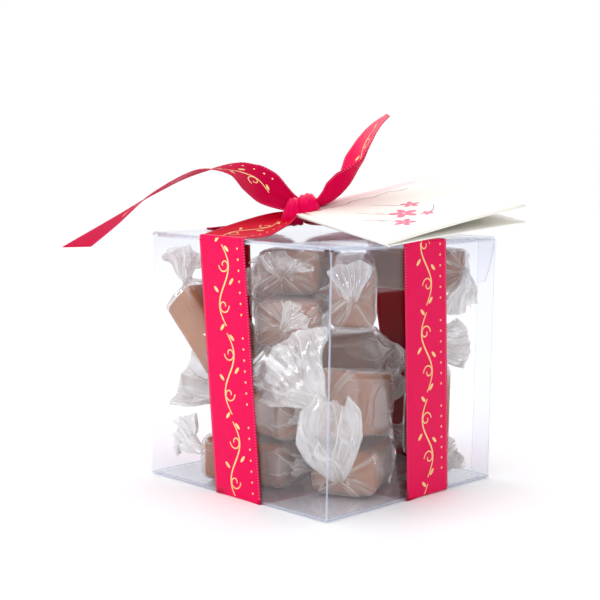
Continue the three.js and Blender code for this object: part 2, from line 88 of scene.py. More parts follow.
def piece(name, points, faces, materials, node, smooth=True, face_slots=None, uv=None):
    """A mesh object in metres that rides on the root body and stands for a CAD node."""
    mesh = bpy.data.meshes.new(name)
    mesh.from_pydata((np.asarray(points, float) * MM).tolist(), [], [list(map(int, f)) for f in faces])
    for one in materials:
        mesh.materials.append(one)
    if face_slots is not None:
        mesh.polygons.foreach_set("material_index", np.asarray(face_slots, np.int32))
    mesh.polygons.foreach_set("use_smooth", np.full(len(mesh.polygons), smooth))
    if uv is not None:
        layer = mesh.uv_layers.new(name="Run")
        corner = np.empty(len(mesh.loops), np.int32)
        mesh.loops.foreach_get("vertex_index", corner)
        layer.data.foreach_set("uv", np.asarray(uv, float)[corner].ravel())
    mesh.update()
    thing = bpy.data.objects.new(name, mesh)
    scene.collection.objects.link(thing)
    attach(thing, "root")
    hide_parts(node)
    return thing


def grid_faces(rows, columns, start=0, closed=False, flip=False):
    """Quads of a grid of points, row by row. closed joins the last column to the first."""
    faces = []
    for r in range(rows - 1):
        for c in range(columns if closed else columns - 1):
            d = (c + 1) % columns
            a, b = start + r * columns + c, start + r * columns + d
            face = (a, b, b + columns, a + columns)
            faces.append(face[::-1] if flip else face)
    return faces


def thick_sheet(points, normals, thickness):
    """A grid of points thickened both ways along its normals into a closed skin, with the slot of each face:
    0 on the side that the normals point to, 1 on the other, 2 on the cut edges."""
    rows, columns = points.shape[:2]
    half = normals * np.broadcast_to(np.asarray(thickness, float), (rows, columns))[..., None] / 2
    skin = np.concatenate([(points + half).reshape(-1, 3), (points - half).reshape(-1, 3)])
    count = rows * columns
    front = grid_faces(rows, columns)
    back = grid_faces(rows, columns, count, flip=True)
    ring = list(range(columns))
    ring += [r * columns + columns - 1 for r in range(1, rows)]
    ring += [(rows - 1) * columns + c for c in range(columns - 2, -1, -1)]
    ring += [r * columns for r in range(rows - 2, 0, -1)]
    rim = [(b, a, a + count, b + count) for a, b in zip(ring, ring[1:] + ring[:1])]
    slots = [0] * len(front) + [1] * len(back) + [2] * len(rim)
    return skin, front + back + rim, slots


def spline(points):
    """The centripetal curve through the points that the CAD model uses, as a function of 0 to 1."""
    pts = [np.asarray(p, float) for p in points]

    def at(t):
        spot = t * (len(pts) - 1)
        k = min(int(spot), len(pts) - 2)
        w = spot - k
        p1, p2 = pts[k], pts[k + 1]
        p0 = pts[k - 1] if k else 2 * pts[0] - pts[1]
        p3 = pts[k + 2] if k + 2 < len(pts) else 2 * pts[-1] - pts[-2]
        d0, d1, d2 = (np.linalg.norm(b - a) ** 0.5 for a, b in ((p0, p1), (p1, p2), (p2, p3)))
        t1 = d1 * ((p1 - p0) / d0 - (p2 - p0) / (d0 + d1) + (p2 - p1) / d1)
        t2 = d1 * ((p2 - p1) / d1 - (p3 - p1) / (d1 + d2) + (p3 - p2) / d2)
        return p1 + t1 * w + (3 * (p2 - p1) - 2 * t1 - t2) * w**2 + (2 * (p1 - p2) + t1 + t2) * w**3

    return at


def through(points, steps):
    """steps + 1 points along the curve through the given ones."""
    path = spline(points)
    return np.array([path(k / steps) for k in range(steps + 1)])


def eased(values, steps, soft=0.45):
    """Values at evenly counted stops, spread over steps + 1 rings and softened so that none kinks."""
    values = np.asarray(values, float)
    flat = values.reshape(len(values), -1)
    spots = np.linspace(0, len(values) - 1, steps + 1)
    spread = np.stack([np.interp(spots, np.arange(len(values)), column) for column in flat.T], 1)
    reach = max(1, int(soft * steps / (len(values) - 1)))
    window = np.hanning(2 * reach + 3)[1:-1]
    padded = np.pad(spread, ((reach, reach), (0, 0)), mode="reflect", reflect_type="odd")
    soft_columns = [np.convolve(column, window / window.sum(), "valid") for column in padded.T]
    return np.stack(soft_columns, 1).reshape((steps + 1,) + values.shape[1:])


def around(count):
    """Angles evenly round a circle."""
    return 2 * np.pi * np.arange(count) / count


def wave(points, scale, seed):
    """Smooth noise from -1 to 1 at each point, the same in every run."""
    shift = Vector((seed * 17.3, seed * -9.1, seed * 4.7))
    return np.array([noise.noise(Vector(p) * scale + shift) for p in np.asarray(points).reshape(-1, 3)])


# ---- Materials ----


class Shader:
    """The nodes of a material or a world, with short calls to add and link them."""

    def __init__(self, name, kind="materials", surface="Principled BSDF"):
        self.owner = getattr(bpy.data, kind).new(name)
        self.owner.use_nodes = True
        self.tree = self.owner.node_tree
        self.surface = self.tree.nodes[surface]

    def put(self, socket, value):
        if isinstance(value, bpy.types.NodeSocket):
            self.tree.links.new(value, socket)
        else:
            socket.default_value = value

    def set(self, **values):
        for name, value in values.items():
            self.put(self.surface.inputs[name.replace("_", " ")], value)

    def add(self, kind, output=0, inputs=None, **settings):
        node = self.tree.nodes.new("ShaderNode" + kind)
        for name, value in settings.items():
            setattr(node, name, value)
        for key, value in (inputs or {}).items():
            self.put(node.inputs[key], value)
        return node.outputs[output]

    def math(self, operation, a, b=0.0, clamp=False):
        return self.add("Math", 0, {0: a, 1: b}, operation=operation, use_clamp=clamp)

    def times(self, a, b, clamp=False):
        return self.math("MULTIPLY", a, b, clamp)

    def plus(self, a, b, clamp=False):
        return self.math("ADD", a, b, clamp)

    def scaled(self, value, slope, start, clamp=False):
        return self.plus(self.times(value, slope), start, clamp)

    def past(self, value, limit, slope):
        """How far a value is past a limit, times slope, from 0 to 1."""
        return self.times(self.math("SUBTRACT", value, limit), slope, clamp=True)

    def mix(self, factor, a, b):
        node = self.tree.nodes.new("ShaderNodeMix")
        node.data_type = "RGBA"
        self.put(node.inputs[0], factor)
        self.put(node.inputs[6], a)
        self.put(node.inputs[7], b)
        return node.outputs[2]

    def ramp(self, factor, stops):
        node = self.tree.nodes.new("ShaderNodeValToRGB")
        while len(node.color_ramp.elements) < len(stops):
            node.color_ramp.elements.new(0.5)
        for element, (place, colour) in zip(node.color_ramp.elements, stops):
            element.position = place
            element.color = colour
        self.put(node.inputs[0], factor)
        return node.outputs[0]

    def stretched(self, vector, *scale):
        return self.add("Mapping", 0, {"Vector": vector, "Scale": scale})

    def place(self, *scale):
        return self.stretched(self.add("TexCoord", "Object"), *(scale or (1, 1, 1)))

    def noise(self, scale, detail=3.0, vector=None, distortion=0.0):
        return self.add("TexNoise", 0, {"Vector": vector or self.place(), "Scale": scale, "Detail": detail,
                                        "Distortion": distortion})

    def bump(self, height, strength, distance, normal=None):
        inputs = {"Height": height, "Strength": strength, "Distance": distance}
        if normal is not None:
            inputs["Normal"] = normal
        return self.add("Bump", 0, inputs)

    def layered(self, *layers):
        """Shaders laid over each other, each with its share, in place of the plain surface."""
        whole = layers[0]
        for share, layer in zip(layers[1::2], layers[2::2]):
            whole = self.add("MixShader", 0, {0: share, 1: whole, 2: layer})
        self.put(self.tree.nodes["Material Output"].inputs["Surface"], whole)
        self.tree.nodes.remove(self.surface)
        return self.owner


def rgb(red, green, blue):
    """Linear colour of an sRGB one from 0 to 255."""
    parts = (c / 255 for c in (red, green, blue))
    return (*(c / 12.92 if c <= 0.04045 else ((c + 0.055) / 1.055) ** 2.4 for c in parts), 1)


def painted_glare_flats(s):
    """1 on the two flats beside the near corner and on the sheet over the tuck flap, where the sheet is
    given a
    painted glare: a stronger mirror of the bright room, though the sheet lies flat. A slanting line from the
    foot of each ribbon bounds the flats. In metres."""
    x, y, z = (s.add("SeparateXYZ", k, {"Vector": s.place()}) for k in range(3))
    near, wall, sharp = s.times(y, -1), (HALF - 1) * MM, 1500
    front = s.times(s.past(near, wall, sharp), s.past(x, s.scaled(z, -0.07, 0.0112), sharp))
    flat = s.past(near, s.scaled(z, 0.25, 0.0053), sharp)
    doubled = s.times(s.past(z, (BOX_TOP - TUCK_DEPTH) * MM, sharp), s.past(near, 0, sharp))
    return s.math("MAXIMUM", front, s.times(s.past(x, wall, sharp), s.math("MAXIMUM", flat, doubled)))


def clear_sheet(name, tint, sheen, haze, bow=0.0, cloud=0.0):
    """Clear plastic: a faint mirror straight on and a strong one towards grazing, over what it lets through.
    haze is how much its scuffs show, cloud how milky it is all over, bow the share of painted glare on its
    near flats."""
    s = Shader(name)
    facing = s.add("LayerWeight", "Facing", {"Blend": 0.5})
    scuffs = s.noise(140, 4, s.place(1, 1, 0.25))
    mirror = s.plus(s.math("POWER", facing, 5.0), sheen, clamp=True)
    # Painted glare: a stronger mirror on the flats beside the near corner and over the tuck flap.
    if bow:
        mirror = s.plus(mirror, s.times(painted_glare_flats(s), bow), clamp=True)
    dust = s.plus(s.past(scuffs, 0.42, haze), cloud)
    gloss = s.add("BsdfAnisotropic", 0, {
        "Color": (0.97, 0.975, 1.0, 1), "Roughness": s.scaled(scuffs, 0.08, 0.02),
        "Normal": s.bump(s.noise(30, 2), 0.06, 0.0006)})
    clear = s.add("BsdfTransparent", 0, {"Color": tint})
    milk = s.add("BsdfDiffuse", 0, {"Color": (0.9, 0.92, 1.0, 1)})
    return s.layered(clear, dust, milk, mirror, gloss)


def cut_edge(name, tint, alpha):
    """The folded and cut edges of the clear sheet: blue-grey, with painted glints in flecks of white."""
    s = Shader(name)
    fleck = s.noise(300, 3, s.place(1, 1, 0.1))
    # Painted glints: in flecks the edge turns white and more opaque.
    s.set(
        Base_Color=s.mix(fleck, tint, rgb(248, 250, 255)),
        Roughness=0.12,
        Alpha=s.scaled(fleck, 0.3, alpha - 0.15, clamp=True),
        IOR=1.45,
    )
    return s.owner


def satin(name, colour, dark, roughness, gloss):
    """Woven satin: threads along the run of the ribbon, slubs, and a darker edge with a row of picots."""
    s = Shader(name)
    run = s.add("UVMap", 0, uv_map="Run")
    across, along = (s.add("SeparateXYZ", k, {"Vector": run}) for k in range(2))
    rows = s.add("TexWave", "Fac", {"Vector": run, "Scale": 0.9, "Distortion": 0.5, "Detail": 2.0,
                                    "Detail Scale": 2.0}, bands_direction="Y")
    threads = s.noise(1.0, 3, s.stretched(run, 7.0, 0.4, 1))
    slub = s.noise(0.22, 4, run)
    edge = s.math("GREATER_THAN", s.math("ABSOLUTE", across), RIBBON_WIDTH / 2 - 0.7)
    picots = s.times(edge, s.math("GREATER_THAN", s.math("PINGPONG", along, 0.42), 0.2))
    tone = colour
    for mask, share in ((slub, 0.5), (threads, 0.22), (edge, 0.5)):
        tone = s.mix(s.times(mask, share), tone, dark)
    s.set(
        Base_Color=s.mix(s.times(picots, 0.55), tone, rgb(255, 96, 138)),
        Roughness=s.scaled(threads, 0.14, roughness - 0.07),
        Anisotropic=0.6,
        Specular_IOR_Level=gloss,
        Specular_Tint=rgb(255, 120, 160),
        Normal=s.bump(rows, 0.2, 0.00005, s.bump(threads, 0.3, 0.00008, s.bump(picots, 0.5, 0.0001))),
    )
    return s.owner


def flecked(name, scale, detail, colour, other, roughness, uneven=0.0, **values):
    """A surface that varies finely between two colours, rougher where it is nearer to the other one."""
    s = Shader(name)
    fleck = s.noise(scale, detail)
    s.set(Base_Color=s.mix(fleck, colour, other), Roughness=s.scaled(fleck, uneven, roughness), **values)
    return s.owner


def card_paper(name, colour):
    """Uncoated card with faint fibres and mottling."""
    s = Shader(name)
    fibre = s.noise(1500, 4)
    mottle = s.noise(60, 3)
    s.set(
        Base_Color=s.mix(s.times(mottle, 0.35), colour, rgb(236, 230, 218)),
        Roughness=s.scaled(fibre, 0.2, 0.55),
        Normal=s.bump(fibre, 0.15, 0.00004),
    )
    return s.owner


def caramel():
    """Butter caramel: cloudy, waxy, with fine pores and the drag marks of the knife."""
    s = Shader("butter_caramel")
    cream = s.noise(55, 4, distortion=0.4)
    cuts = s.noise(1.0, 3, s.place(90, 90, 900))
    pores = s.noise(900, 3)
    body = s.ramp(cream, [(0.3, rgb(152, 88, 40)), (0.55, rgb(172, 104, 50)), (0.78, rgb(194, 128, 66))])
    s.set(
        Base_Color=s.mix(s.times(pores, 0.12), body, rgb(120, 78, 50)),
        Roughness=s.scaled(cream, 0.2, 0.26),
        Subsurface_Weight=0.35,
        Subsurface_Radius=(1.0, 0.5, 0.25),
        Subsurface_Scale=0.003,
        IOR=1.46,
        Normal=s.bump(cuts, 0.1, 0.0002, s.bump(pores, 0.05, 0.0001)),
    )
    return s.owner


def wrapper(name, veil, haze, shine, gather):
    """Clear film: faint where it lies tight, milky where it is gathered, with painted glints along creases
    and facets.
    gather is how far from a caramel's middle, in mm, the pleats start, or 0 for pleats all along."""
    s = Shader(name)
    run = s.add("UVMap", 0, uv_map="Run")
    facing = s.add("LayerWeight", "Facing", {"Blend": 0.5})
    clouds = s.noise(1.0, 2, s.stretched(run, 0.13, 0.09, 1))
    pleats = s.noise(1.0, 1, s.stretched(run, 0.5, 0.03, 1), distortion=0.4)
    cells = {"Vector": s.stretched(run, 0.24, 0.06, 1), "Scale": 1.0}
    crease = s.add("TexVoronoi", "Distance", cells, feature="DISTANCE_TO_EDGE")
    cell_glint_pick = s.add("SeparateXYZ", 0, {"Vector": s.add("TexVoronoi", "Color", cells)})
    # Painted glints along the creases: thin lines of milky white where the cells meet.
    line = s.scaled(crease, -30.0, 1.0, clamp=True)
    painted_facet_glint = s.math("POWER", cell_glint_pick, 1.6)
    cloud, streak = s.past(clouds, 0.38, 3.0), s.past(pleats, 0.5, 3.0)
    amount = s.plus(s.times(cloud, haze), s.times(streak, 0.45 * haze))
    amount = s.plus(amount, s.times(line, 0.9 * haze))
    # Painted glints on facets: each cell of film gets its own share of milky white, as if tilted to the
    # light.
    amount = s.times(amount, s.scaled(painted_facet_glint, 1.5, 0.35))
    if gather:
        along = s.math("ABSOLUTE", s.add("SeparateXYZ", 1, {"Vector": run}))
        amount = s.times(amount, s.scaled(s.past(along, gather, 0.22), 0.9, 0.1))
    rim = s.scaled(s.math("POWER", facing, 3.0), 0.5, veil)
    cover = s.plus(amount, rim, clamp=True)
    relief = s.plus(s.plus(s.times(pleats, 0.8), s.times(line, 0.25)), s.times(painted_facet_glint, 0.5))
    normal = s.bump(relief, 0.5, 0.0006)
    paint = {"Color": s.mix(cloud, rgb(248, 246, 242), rgb(255, 255, 254)), "Normal": normal}
    lit, glowing = s.add("BsdfDiffuse", 0, paint), s.add("BsdfTranslucent", 0, paint)
    milk = s.add("MixShader", 0, {0: 0.4, 1: lit, 2: glowing})
    clear = s.add("BsdfTransparent", 0, {"Color": (0.995, 0.99, 0.985, 1)})
    gloss = s.add("BsdfAnisotropic", 0, {"Color": (1, 1, 1, 1), "Roughness": 0.06, "Normal": normal})
    mirror = s.scaled(s.math("POWER", facing, 4.0), 0.5, shine, clamp=True)
    return s.layered(clear, cover, milk, mirror, gloss)


# The box's near flats get a painted glare of 0.045.
BOX_CLEAR = clear_sheet("clear_pvc", (0.97, 0.973, 0.984, 1), 0.0, 0.01, 0.045)
BOX_FLOOR = clear_sheet("clear_pvc_floor", (0.985, 0.98, 0.975, 1), 0.04, 0.5, cloud=0.16)
BOX_FOLD = cut_edge("clear_pvc_fold", rgb(178, 190, 222), 0.42)
SATIN_FRONT = satin("satin_front", rgb(240, 4, 90), rgb(206, 0, 62), 0.32, 0.2)
SATIN_BACK = satin("satin_back", rgb(222, 8, 76), rgb(186, 2, 54), 0.55, 0.05)
SATIN_SHADED = satin("satin_shaded", rgb(202, 4, 66), rgb(168, 0, 46), 0.5, 0.03)
# Satin with painted shade for the strands that run up to the knot.
SATIN_STRAND_SHADE = satin("satin_strand_painted_shade", rgb(222, 2, 48), rgb(164, 0, 26), 0.4, 0.03)
# Dark red satin with painted shade for the reverse of the bands where it faces into the box.
SATIN_INNER_SHADE = satin("satin_inner_painted_shade", rgb(186, 6, 20), rgb(150, 0, 10), 0.6, 0.0)
GOLD = flecked("gold_print", 900, 2, rgb(236, 190, 120), rgb(255, 224, 160), 0.25, 0.25, Metallic=0.55)
CARD_WHITE = card_paper("card_ivory", rgb(252, 251, 243))
CARD_INNER = card_paper("card_inner", rgb(228, 226, 218))
INK_PINK = flecked("ink_pink", 700, 3, rgb(226, 96, 134), rgb(240, 150, 176), 0.6)
INK_PALE = flecked("ink_pale_pink", 700, 3, rgb(243, 214, 219), rgb(250, 234, 234), 0.6)
INK_GREY = flecked("ink_grey", 700, 3, rgb(120, 108, 110), rgb(160, 148, 150), 0.6)
CARAMEL = caramel()
FILM_TIGHT = wrapper("film_tight", 0.02, 0.46, 0.08, 7.0)
FILM_LOOSE = wrapper("film_loose", 0.08, 0.75, 0.2, 0)


# ---- Clear box ----


def bent_sheet(path, width_axis, low, high, thickness, steps=1):
    """A sheet whose section follows a path and that runs straight along width_axis from low to high."""
    path = np.asarray(path, float)
    normal = unit(np.cross(unit(np.gradient(path, axis=0)), width_axis))
    points = path[:, None, :] + np.linspace(low, high, steps + 1)[None, :, None] * width_axis
    return thick_sheet(points, np.repeat(normal[:, None, :], steps + 1, axis=1), thickness)


def arc(centre, radius, start, end, first, second, count=7):
    """Points on a round bend in the plane of the axes first and second, angles in degrees."""
    centre = np.asarray(centre, float)
    angles = np.radians(np.linspace(start, end, count))
    return [centre + radius * (math.cos(a) * first + math.sin(a) * second) for a in angles]


def box_piece(name, points, faces, slots, is_flat, look=BOX_CLEAR):
    """One part of the folding box. is_flat tells, by a face's number, its flats from its folds and edges."""
    slots = [0 if slot < 2 and is_flat(k) else 1 for k, slot in enumerate(slots)]
    piece(name, points, faces, [look, BOX_FOLD], "box", smooth=False, face_slots=slots)


def box_walls():
    """Four walls and their rounded upright folds, standing on the floor of the box."""
    flat, bend_steps = HALF - CORNER, 7
    ring = np.array([(x * flat, y * flat, math.cos(angle), math.sin(angle))
                     for x, y, start in ((1, -1, -90), (1, 1, 0), (-1, 1, 90), (-1, -1, 180))
                     for angle in np.radians(start + 15 * np.arange(bend_steps))])
    levels = [BOX_BOTTOM, BOX_BOTTOM + 0.5, 25, 50, WALL_HEAD]
    count = len(ring)
    points, faces = [], []
    for radius in (CORNER, CORNER - SHEET):
        for z in levels:
            points += [(x, y, z) for x, y in ring[:, :2] + radius * ring[:, 2:]]
    inner = count * len(levels)
    for start in (0, inner):
        faces += grid_faces(len(levels), count, start, closed=True, flip=start > 0)
    slots = [0] * len(faces) + [2] * 2 * count
    for level in (0, len(levels) - 1):
        for c in range(count):
            a, b = (level * count + k for k in (c, (c + 1) % count))
            rim = (a, b, inner + b, inner + a)
            faces.append(rim if level else rim[::-1])
    box_piece("box_walls", points, faces, slots, lambda k: k % count % bend_steps not in (2, 3))


def box_pieces():
    """The clear box: walls, floor, lid with its tuck flap, dust flaps and glued seam."""
    box_walls()
    inside, rim = HALF - SHEET - 0.02, 1.1
    ticks = np.array([-inside, -inside + rim, inside - rim, inside])
    floor = np.array([[(x, y, BOX_BOTTOM + SHEET / 2) for y in ticks] for x in ticks])
    skin, faces, slots = thick_sheet(floor, np.broadcast_to(-Z, floor.shape), SHEET)
    middle = 4
    box_piece("box_floor", skin, faces, slots, lambda k: k % 9 == middle, BOX_FLOOR)

    # Left wall's head folds over into the lid, and the lid into its tuck flap behind the right wall.
    mid, rise, fold, slide = HALF - SHEET / 2, BOX_TOP - SHEET / 2, 0.9, HALF - 1.15
    head = WALL_HEAD + 0.02
    path = [np.array([-mid, 0, head]), np.array([-mid, 0, rise - fold])]
    path += arc((-mid + fold, 0, rise - fold), fold, 180, 90, X, Z)[1:]
    path += [np.array([x, 0, rise - sag]) for x, sag in ((-20, 0.12), (0, 0.2), (20, 0.12))]
    path += arc((slide - fold, 0, rise - fold), fold, 90, 0, X, Z)
    lid_end = len(path)
    path += [np.array([slide, 0, z]) for z in (72, 67, BOX_TOP - TUCK_DEPTH)]
    columns = 8
    skin, faces, slots = bent_sheet(path, Y, -HALF + 0.55, HALF - 0.55, SHEET, columns)
    points = skin.reshape(2, len(path), columns + 1, 3)
    for row in range(lid_end, len(path)):
        points[:, row, :, 1] *= 1 - 0.115 * ((row - lid_end + 1) / (len(path) - lid_end)) ** 2
    flats, rows = (0, 7, 8, 9, 17, 18, 19), len(path) - 1
    box_piece("box_lid", points.reshape(-1, 3), faces, slots, lambda k: k // columns % rows in flats)

    # The heads of the front and back walls fold in under the lid as dust flaps.
    for out, name in ((-Y, "front"), (Y, "back")):
        under, bend, columns = BOX_TOP - SHEET - 0.45, 0.6, 6
        path = [out * mid + head * Z]
        path += arc(out * (mid - bend) + (under - bend) * Z, bend, 0, 90, out, Z, 5)
        path += [out * (mid - deep) + (under - DUST_DROOP * deep / DUST_DEPTH) * Z
                 for deep in (8, 16, 24, DUST_DEPTH)]
        skin, faces, slots = bent_sheet(path, X * out[1], -35, 35, SHEET * 0.8, columns)
        points = skin.reshape(2, len(path), columns + 1, 3)
        for row in range(6, len(path)):
            points[:, row, :, 0] *= 0.985 - 0.02 * (row - 6)
        rows, points = len(path) - 1, points.reshape(-1, 3)
        box_piece(f"box_flap_{name}", points, faces, slots, lambda k: k // columns % rows >= 5)

    # The right wall's free head, and the glued strip inside the back wall's right end.
    skin, faces, slots = bent_sheet([mid * X + z * Z for z in (head, 75.4, 75.7)], Y, -36.6, 36.6, SHEET)
    box_piece("box_head", skin, faces, slots, lambda k: False)
    skin, faces, slots = bent_sheet([(37.3, 37.35, 1.2), (34, 37.38, 1.2), (31, 37.38, 1.2)], Z, 0, 73, 0.3)
    box_piece("box_seam", skin, faces, slots, lambda k: True)


# ---- Ribbon ----


def diagonal(out, near, up):
    """A point or way given along the tails, towards the near corner, and up."""
    return np.array([(out + near) * math.sqrt(0.5), (out - near) * math.sqrt(0.5), up])


class Band:
    """A strip of ribbon as rings across it, with its printed side along its normals. Each ring has a middle,
    a way across, a width, a curl in degrees and a thickness, and may be skewed or pleated."""

    def __init__(self, middles, sides, widths, curls, thick, columns=21, skews=0.0, pleats=0.0, flip=False):
        middles = np.asarray(middles, float)
        count = len(middles)

        def rows(values):
            return np.broadcast_to(values, count)[:, None]

        way = unit(np.gradient(middles, axis=0))
        side = unit(np.asarray(sides, float))
        side = unit(side - way * np.sum(side * way, axis=1, keepdims=True) * 0.999)
        up = unit(np.cross(way, side))
        s = np.linspace(-1, 1, columns)
        curl = np.radians(rows(curls))
        curl = np.where(np.abs(curl) < 1e-3, 1e-3, curl)
        turn = s * curl / 2
        reach = rows(widths) / curl * np.sin(turn)
        sink = rows(widths) / curl * (np.cos(turn) - 1) + rows(pleats) * np.sin(math.pi * 3 * s + 0.7)
        self.points = (middles[:, None] + side[:, None] * reach[..., None] + up[:, None] * sink[..., None]
                       + way[:, None] * (rows(skews) * s)[..., None])
        across = np.gradient(self.points, axis=1)
        along = np.gradient(self.points, axis=0)
        self.normals = unit(np.cross(along, across)) * (-1 if flip else 1)
        steps = np.linalg.norm(np.diff(middles, axis=0), axis=1)
        self.run = np.concatenate([[0], np.cumsum(steps)])
        self.s = s
        self.thick = np.broadcast_to(thick, count)
        self.flip = flip

    def uv(self):
        """Millimetres across and along the ribbon, for both of its sides."""
        u = np.broadcast_to(self.s * RIBBON_WIDTH / 2, self.points.shape[:2])
        v = np.broadcast_to(self.run[:, None], self.points.shape[:2])
        flat = np.stack([u, v], -1).reshape(-1, 2)
        return np.concatenate([flat, flat])

    def solid(self):
        """Points, faces and slots of the strip at its thickness."""
        thick = np.repeat(self.thick[:, None], len(self.s), axis=1)
        skin, faces, slots = thick_sheet(self.points, self.normals, thick)
        return skin, faces if self.flip else [f[::-1] for f in faces], slots

    def at(self, u, v, lift=0.0):
        """The point u mm across and v mm along the printed side."""
        rows, columns = len(self.run) - 1, len(self.s) - 1
        k = np.clip(np.interp(v, self.run, np.arange(rows + 1)), 0, rows - 0.001)
        c = np.clip((np.asarray(u) / (RIBBON_WIDTH / 2) + 1) / 2 * columns, 0, columns - 0.001)
        k0, c0 = np.floor(k).astype(int), np.floor(c).astype(int)
        a, b = (k - k0)[:, None], (c - c0)[:, None]

        def blend(grid):
            return ((1 - a) * (1 - b) * grid[k0, c0] + (1 - a) * b * grid[k0, c0 + 1]
                    + a * (1 - b) * grid[k0 + 1, c0] + a * b * grid[k0 + 1, c0 + 1])

        thick = np.interp(v, self.run, self.thick)[:, None]
        return blend(self.points) + unit(blend(self.normals)) * (thick / 2 + lift)


def band_piece(name, band, slant=0, front=SATIN_FRONT):
    """The ribbon of one band. slant is how many rings at each end run up to the knot in satin with painted
    shade, and what lies between them has its reverse against the box in dark red satin with painted shade."""
    skin, faces, slots = band.solid()
    if slant:
        columns, rows = len(band.s) - 1, len(band.run) - 1
        for k, side in enumerate(slots):
            row = (k // columns) % rows
            if side < 2 and (row < slant or row >= rows - slant):
                slots[k] = 3
            elif side == 1:
                slots[k] = 4
    # Slots 3 and 4 carry painted shade: the strands up to the knot, and the reverse that faces into the box.
    look = [front, SATIN_BACK, SATIN_BACK, SATIN_STRAND_SHADE, SATIN_INNER_SHADE]
    piece(name, skin, faces, look, "ribbon", face_slots=slots, uv=band.uv())


def columns_eased(stops, steps):
    """Each column of a table of stops but the first, eased over the rings."""
    return [eased(list(column), steps) for column in list(zip(*stops))[1:]]


STRAND_STEPS = 34
WIDE, THIN = RIBBON_WIDTH, RIBBON_THICK
TAILS = {
    "ribbon_tail_left": (SATIN_SHADED, 130, [
        ((-8.6, 0, 84.4), (0.5, -0.6, 0.6), 5, 60, 0.6, 0),
        ((-12.9, 0, 86.1), (0.5, -0.7, 0.55), 9.5, 60, 0.4, 0),
        ((-18.3, 0, 89.2), (0.4, -0.72, 0.47), 16, 45, THIN, 0),
        ((-23.3, 0, 92.7), (0.15, -0.85, 0.42), WIDE, 25, THIN, 0),
        ((-28.3, 0, 95.4), (0.1, -0.95, 0.17), WIDE, 12, THIN, 0),
        ((-38.5, 0, 95.2), (0, -1, -0.08), WIDE, 0, THIN, 0),
        ((-52.9, 0.5, 88.1), (0, -1, -0.02), WIDE, 0, THIN, 0),
        ((-64, 1, 79.9), (-0.13, -0.97, 0.08), WIDE, 0, THIN, 0),
        ((-76.5, 2, 71.4), (-0.21, -0.92, 0.16), WIDE, 0, THIN, 4.6),
    ]),
    "ribbon_tail_right": (SATIN_FRONT, 90, [
        ((-5, 0, 84.6), (-0.3, 1, 0.2), 5, 60, 0.6, 0),
        ((-1, 0, 85.4), (-0.3, 1, 0.2), 9, 120, 0.4, 0),
        ((3.1, 0, 87.7), (-0.33, 1, 0.22), 14, 150, THIN, 0),
        ((7.6, 0, 92.4), (-0.1, 1, 0.07), 17, 150, THIN, 0),
        ((10.6, 0, 98.8), (0.2, 1, -0.13), WIDE, 70, THIN, 0),
        ((12.7, 0, 104.8), (0.15, 1, -0.1), WIDE, 30, THIN, 0),
        ((15.2, 0, 109.6), (0.07, 1, -0.05), WIDE, 10, THIN, 0),
        ((18.7, 0, 113.2), (0.02, 1, 0), WIDE, 0, THIN, -0.6),
    ]),
}


def strand(normal, side, top, lift, cup):
    """Rings from the head of a wall to the knot: middle, way across, width, curl, thickness and pleating."""
    edge = normal * (HALF - 1.5) + side * top
    end = KNOT * [1, 1, 0]
    lean = side + lift * Z
    stops = [(edge + (end - edge) * t + (BAND_TOP + rise) * Z, way, width, curl, thick) for
             t, rise, way, width, curl, thick in (
                 (0.0, 0.05, side, RIBBON_WIDTH, 0, RIBBON_THICK),
                 (0.3, 1.3, lean, 18, 0, RIBBON_THICK),
                 (0.65, 3.1, lean, 14, 40, RIBBON_THICK),
                 (0.86, 4.6, lean, 8, 90, 0.5),
                 (1.0, 5.2, side, 6, 120, 0.8))]
    middles = through([s[0] for s in stops], STRAND_STEPS)
    ways, widths, curls, thicks = columns_eased(stops, STRAND_STEPS)
    pleating = 0.45 * np.maximum(0, np.linspace(0, 1, STRAND_STEPS + 1) - 0.35)
    return list(zip(middles, ways, widths, curls * cup, np.minimum(thicks, RIBBON_THICK), pleating))


def round_trip(side, start, end, level):
    """One ribbon from the knot over a wall, under the box, up the far wall and back. start and end give each
    wall's normal, where the ribbon's foot and top lie along it, and the strand's lift and cup."""
    rings = []
    bend = 0.45
    for normal, foot, top, lift, cup in (start, end):
        out = normal * (BAND_REACH - bend)
        flat = [out + side * top + p for p in arc((0, 0, BAND_TOP - bend), bend, 90, 0, normal, Z, 6)]
        tall = np.linspace(BAND_TOP - bend - 0.6, level + bend + 0.4, 26)
        for z, f in zip(tall, (tall - tall[-1]) / (tall[0] - tall[-1])):
            bulge = normal * (BAND_REACH + 0.05 * math.sin(math.pi * f))
            flat.append(bulge + side * (foot + (top - foot) * f) + z * Z)
        flat += [out + side * foot + p for p in arc((0, 0, level + bend), bend, 0, -90, normal, Z, 6)]
        run = strand(normal, side, top, lift, cup)[::-1]
        run += [(p, side, RIBBON_WIDTH, 0, RIBBON_THICK, 0) for p in flat]
        rings += run[::-1] if rings else run
    return rings


